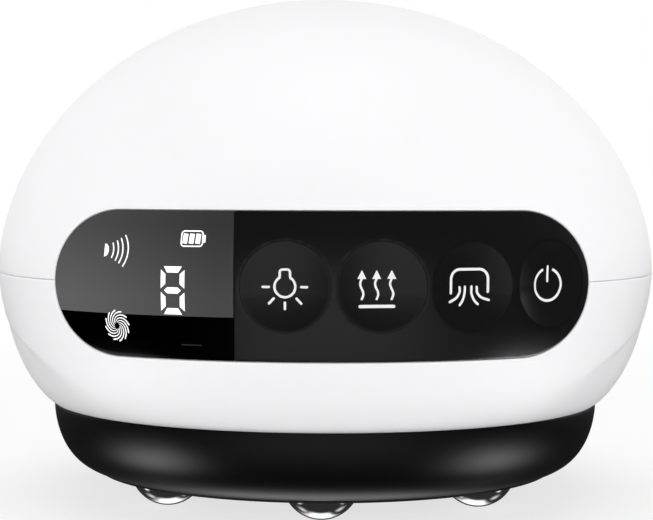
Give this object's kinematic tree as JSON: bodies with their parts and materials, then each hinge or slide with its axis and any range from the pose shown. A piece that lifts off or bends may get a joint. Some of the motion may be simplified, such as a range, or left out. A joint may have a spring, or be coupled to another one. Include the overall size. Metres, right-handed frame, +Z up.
{
  "type": "electric cupping massager",
  "caption": "Palm-held dome massager: lit key panel in front, suction cup and heating plate below in a ring of rolling steel beads.",
  "frame": {"origin": "centre of the circle that the beads stand on", "axes": "+Z up through the dome's crown, -Y out of the control panel, +X to its right"},
  "size_m": [0.09, 0.0899, 0.0676],
  "materials": {
    "white_shell": "glossy white, smooth",
    "smoked_lens": "glossy smoked black",
    "key_black": "satin black",
    "cap_black": "fine satin black",
    "base_black": "matte black",
    "frame_grey": "moulded dark grey",
    "frame_light": "moulded light grey",
    "slip_plastic": "waxy ivory",
    "bead_steel": "mirror polished",
    "cup_black": "satin black",
    "soft_rubber": "soft matte",
    "clear_hose": "milky silicone",
    "plate_metal": "brushed",
    "film_amber": "amber film",
    "red_window": "translucent red",
    "lamp_red": "red lamp",
    "board_white": "white solder mask",
    "board_green": "green solder mask",
    "sponge_grey": "open foam",
    "digit_grey": "grey digit module",
    "ribbon_tan": "polyimide film",
    "part_steel": "drawn steel",
    "magnet_grey": "sintered magnet",
    "winding_copper": "copper winding on steel",
    "cell_blue": "blue shrink sleeve"
  },
  "bodies": {
    "body": {"upper_shell": "white_shell", "lower_shell": "white_shell", "display_lens": "smoked_lens", "key_plate": "key_black", "panel_carrier": "frame_grey", "key_switches": "part_steel", "key_flex_circuit": "film_amber", "key_backplate": "frame_grey", "digit_display": "digit_grey", "icon_light_guide": "key_black", "display_board": "board_green", "panel_ribbon": "ribbon_tan", "base_ring": "base_black", "bead_seat_ring": "slip_plastic", "base_gasket": "soft_rubber", "suction_cup": "cup_black", "cup_lip_seal": "soft_rubber", "heating_plate": "plate_metal", "heater_film": "film_amber", "light_window": "red_window", "lamp_board": "board_white", "red_lamps": "lamp_red", "filter_grille": "key_black", "suction_filter": "sponge_grey", "air_manifold": "frame_light", "pressure_sensor": "key_black", "pump_hose": "clear_hose", "valve_hose": "clear_hose", "chassis": "frame_light", "motor_can": "part_steel", "motor_magnets": "magnet_grey", "pump_head": "frame_grey", "pump_diaphragm": "soft_rubber", "pump_cover": "frame_grey", "pump_strap": "part_steel", "exhaust_muffler": "sponge_grey", "valve_body": "frame_light", "valve_coil": "winding_copper", "valve_spring": "part_steel", "battery_cell": "cell_blue", "battery_cradle": "frame_grey", "charge_board": "board_green", "charging_socket": "part_steel", "main_board": "board_green", "long_screws": "part_steel", "flush_screws": "part_steel"},
    "light_button": {"light_button": "cap_black"},
    "heat_button": {"heat_button": "cap_black"},
    "suction_button": {"suction_button": "cap_black"},
    "power_button": {"power_button": "cap_black"},
    "bead_1": {"bead_1": "bead_steel"},
    "bead_2": {"bead_2": "bead_steel"},
    "bead_3": {"bead_3": "bead_steel"},
    "bead_4": {"bead_4": "bead_steel"},
    "bead_5": {"bead_5": "bead_steel"},
    "bead_6": {"bead_6": "bead_steel"},
    "bead_7": {"bead_7": "bead_steel"},
    "pump_rotor": {"motor_armature": "winding_copper", "pump_eccentric": "slip_plastic"},
    "valve_plunger": {"valve_plunger": "part_steel"}
  },
  "joints": [
    {"name": "light_press", "type": "slide", "parent": "body", "child": "light_button", "axis": [0.0872, 0.9962, 0], "range_m": [0, 0.0005], "stiffness_N_per_m": 2400},
    {"name": "heat_press", "type": "slide", "parent": "body", "child": "heat_button", "axis": [-0.1633, 0.9866, 0], "range_m": [0, 0.0005], "stiffness_N_per_m": 2400},
    {"name": "suction_press", "type": "slide", "parent": "body", "child": "suction_button", "axis": [-0.4035, 0.915, 0], "range_m": [0, 0.0005], "stiffness_N_per_m": 2400},
    {"name": "power_press", "type": "slide", "parent": "body", "child": "power_button", "axis": [-0.6184, 0.7859, 0], "range_m": [0, 0.0005], "stiffness_N_per_m": 2400},
    {"name": "bead_1_roll", "type": "hinge", "parent": "body", "child": "bead_1", "pos_m": [0, -0.026, 0.005], "axis": [1, 0, 0], "continuous": true},
    {"name": "bead_2_roll", "type": "hinge", "parent": "body", "child": "bead_2", "pos_m": [0.02033, -0.01621, 0.005], "axis": [0.6235, 0.7818, 0], "continuous": true},
    {"name": "bead_3_roll", "type": "hinge", "parent": "body", "child": "bead_3", "pos_m": [0.02535, 0.00579, 0.005], "axis": [-0.2225, 0.9749, 0], "continuous": true},
    {"name": "bead_4_roll", "type": "hinge", "parent": "body", "child": "bead_4", "pos_m": [0.01128, 0.02343, 0.005], "axis": [-0.901, 0.4339, 0], "continuous": true},
    {"name": "bead_5_roll", "type": "hinge", "parent": "body", "child": "bead_5", "pos_m": [-0.01128, 0.02343, 0.005], "axis": [-0.901, -0.4339, 0], "continuous": true},
    {"name": "bead_6_roll", "type": "hinge", "parent": "body", "child": "bead_6", "pos_m": [-0.02535, 0.00579, 0.005], "axis": [-0.2225, -0.9749, 0], "continuous": true},
    {"name": "bead_7_roll", "type": "hinge", "parent": "body", "child": "bead_7", "pos_m": [-0.02033, -0.01621, 0.005], "axis": [0.6235, -0.7818, 0], "continuous": true},
    {"name": "pump_spin", "type": "hinge", "parent": "body", "child": "pump_rotor", "pos_m": [0, -0.005, 0.0368], "axis": [1, 0, 0], "continuous": true},
    {"name": "valve_lift", "type": "slide", "parent": "body", "child": "valve_plunger", "axis": [0, 0, 1], "range_m": [0, 0.0012], "stiffness_N_per_m": 600, "deforming": ["valve_spring"]}
  ]
}
